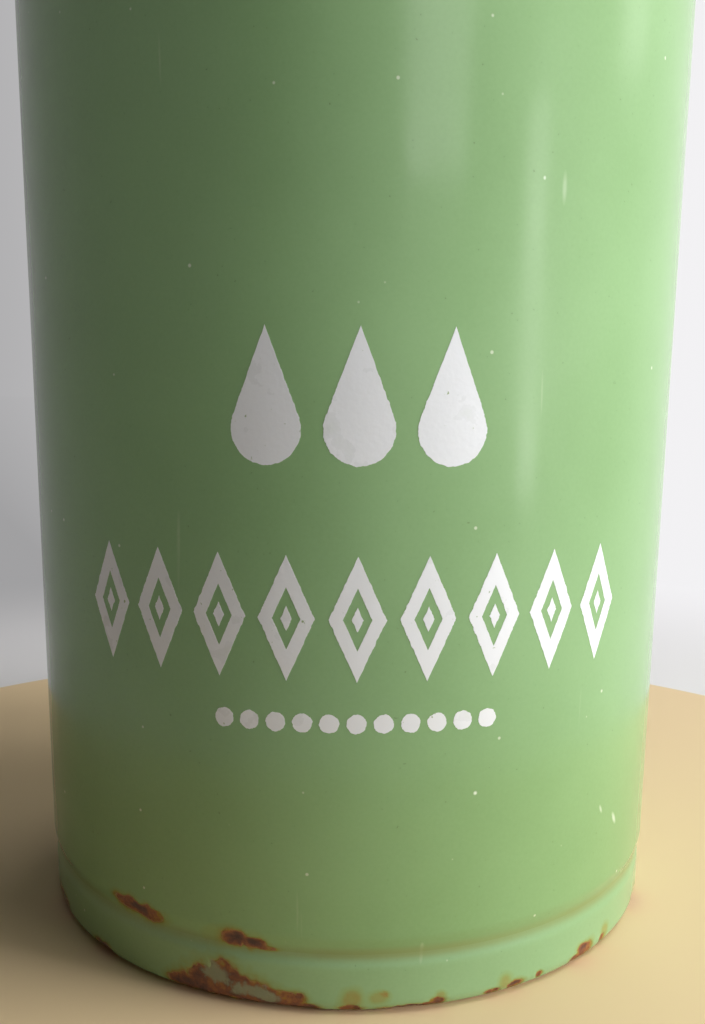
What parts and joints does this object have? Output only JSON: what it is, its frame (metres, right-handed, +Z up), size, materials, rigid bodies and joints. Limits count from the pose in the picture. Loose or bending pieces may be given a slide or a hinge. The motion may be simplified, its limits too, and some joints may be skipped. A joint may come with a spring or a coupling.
{
  "type": "enamel kerosene can",
  "caption": "Cylindrical enamelled steel can for kerosene, with a screw-capped filler, a slanted screw-capped spout, a swinging wire bail with a wooden grip and a rear strap handle.",
  "frame": {"origin": "centre of the foot ring, on the surface that the can stands on", "axes": "+Z up along the can's axis, the spout points along -Y and the rear handle along +Y"},
  "size_m": [0.1414, 0.2164, 0.2893],
  "materials": {
    "enamel": "glossy green vitreous enamel on sheet steel, chipped to rust at the foot",
    "brass": "turned brass, dulled by use",
    "steel_wire": "drawn steel wire, dull",
    "beech": "turned beech, oiled and worn",
    "cork": "pressed cork",
    "fibre": "red vulcanised fibre",
    "leather": "oiled leather"
  },
  "bodies": {
    "can": {"base_pan": "enamel", "body_shell": "enamel", "shoulder_dome": "enamel", "bail_ear_left": "enamel", "bail_ear_right": "enamel", "rear_handle": "enamel", "neck_nut": "brass", "neck_washer_inner": "fibre", "neck_washer_outer": "fibre", "filler_neck": "brass", "spout_tube": "enamel", "spout_nozzle": "brass"},
    "bail": {"bail_wire": "steel_wire"},
    "grip": {"bail_grip": "beech"},
    "filler_seal": {"filler_gasket": "cork"},
    "filler_lid": {"filler_cap": "brass"},
    "spout_seal": {"spout_cap_washer": "leather"},
    "spout_lid": {"spout_cap": "brass"}
  },
  "joints": [
    {"name": "bail_swing", "type": "hinge", "parent": "can", "child": "bail", "pos_m": [0, 0, 0.198], "axis": [1, 0, 0], "range_deg": [0, 154]},
    {"name": "grip_spin", "type": "hinge", "parent": "bail", "child": "grip", "pos_m": [0, 0.09617, 0.15586], "axis": [1, 0, 0], "continuous": true},
    {"name": "filler_cap_rise", "type": "slide", "parent": "can", "child": "filler_seal", "axis": [0, 0, 1], "range_m": [0, 0.00705]},
    {"name": "filler_cap_turn", "type": "hinge", "parent": "filler_seal", "child": "filler_lid", "pos_m": [0, 0, 0.2185], "axis": [0, 0, 1], "range_deg": [0, 720]},
    {"name": "spout_cap_rise", "type": "slide", "parent": "can", "child": "spout_seal", "axis": [0, -0.5736, 0.8192], "range_m": [0, 0.00605]},
    {"name": "spout_cap_turn", "type": "hinge", "parent": "spout_seal", "child": "spout_lid", "pos_m": [0, -0.041, 0.19775], "axis": [0, -0.5736, 0.8192], "range_deg": [0, 864]}
  ],
  "couplings": [
    {"joint": "filler_cap_rise", "follows": "filler_cap_turn", "m_per_rad": 0.00055704},
    {"joint": "spout_cap_rise", "follows": "spout_cap_turn", "m_per_rad": 0.00039789}
  ]
}
